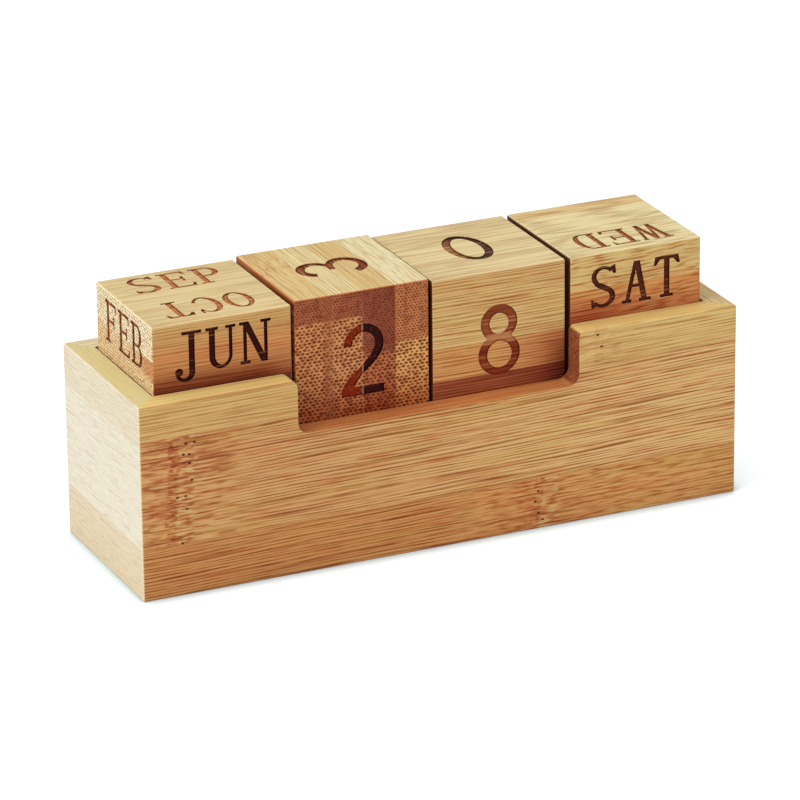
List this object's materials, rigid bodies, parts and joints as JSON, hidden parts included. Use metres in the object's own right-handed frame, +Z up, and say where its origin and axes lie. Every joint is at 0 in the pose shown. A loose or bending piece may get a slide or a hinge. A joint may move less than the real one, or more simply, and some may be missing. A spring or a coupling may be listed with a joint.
{
  "type": "perpetual desk calendar",
  "caption": "Wooden desk calendar: turnable engraved date blocks in a row in a mitred box, over a drawer that slides out of one end.",
  "frame": {"origin": "middle of the box's underside, on the desk", "axes": "+X along the row of blocks to the reader's right, -Y towards the reader, +Z up"},
  "size_m": [0.16, 0.0492, 0.068],
  "materials": {
    "case_bamboo": "fine sanded laminated bamboo with a thin satin oil finish",
    "drawer_bamboo": "fine sanded laminated bamboo, unfinished inside",
    "month_block_bamboo": "sanded laminated bamboo with burnt engraving",
    "tens_block_bamboo": "sanded laminated bamboo, end grain to the front, with burnt engraving",
    "units_block_bamboo": "sanded laminated bamboo with burnt engraving",
    "weekday_block_bamboo": "sanded laminated bamboo with burnt engraving"
  },
  "bodies": {
    "case": {"front_board": "case_bamboo", "back_board": "case_bamboo", "left_end_board": "case_bamboo", "right_end_board": "case_bamboo", "block_shelf": "case_bamboo", "base_panel": "case_bamboo"},
    "drawer": {"drawer_front": "drawer_bamboo", "drawer_left_side": "drawer_bamboo", "drawer_right_side": "drawer_bamboo", "drawer_back": "drawer_bamboo", "drawer_bottom": "drawer_bamboo"},
    "month": {"month_block": "month_block_bamboo"},
    "tens": {"tens_block": "tens_block_bamboo"},
    "units": {"units_block": "units_block_bamboo"},
    "weekday": {"weekday_block": "weekday_block_bamboo"}
  },
  "joints": [
    {"name": "drawer_slide", "type": "slide", "parent": "case", "child": "drawer", "axis": [1, 0, 0], "range_m": [0, 0.12]},
    {"name": "month_lift", "type": "slide", "parent": "case", "child": "month", "axis": [0, 0, 1], "range_m": [0, 0.03]},
    {"name": "tens_lift", "type": "slide", "parent": "case", "child": "tens", "axis": [0, 0, 1], "range_m": [0, 0.03]},
    {"name": "units_lift", "type": "slide", "parent": "case", "child": "units", "axis": [0, 0, 1], "range_m": [0, 0.03]},
    {"name": "weekday_lift", "type": "slide", "parent": "case", "child": "weekday", "axis": [0, 0, 1], "range_m": [0, 0.03]}
  ]
}
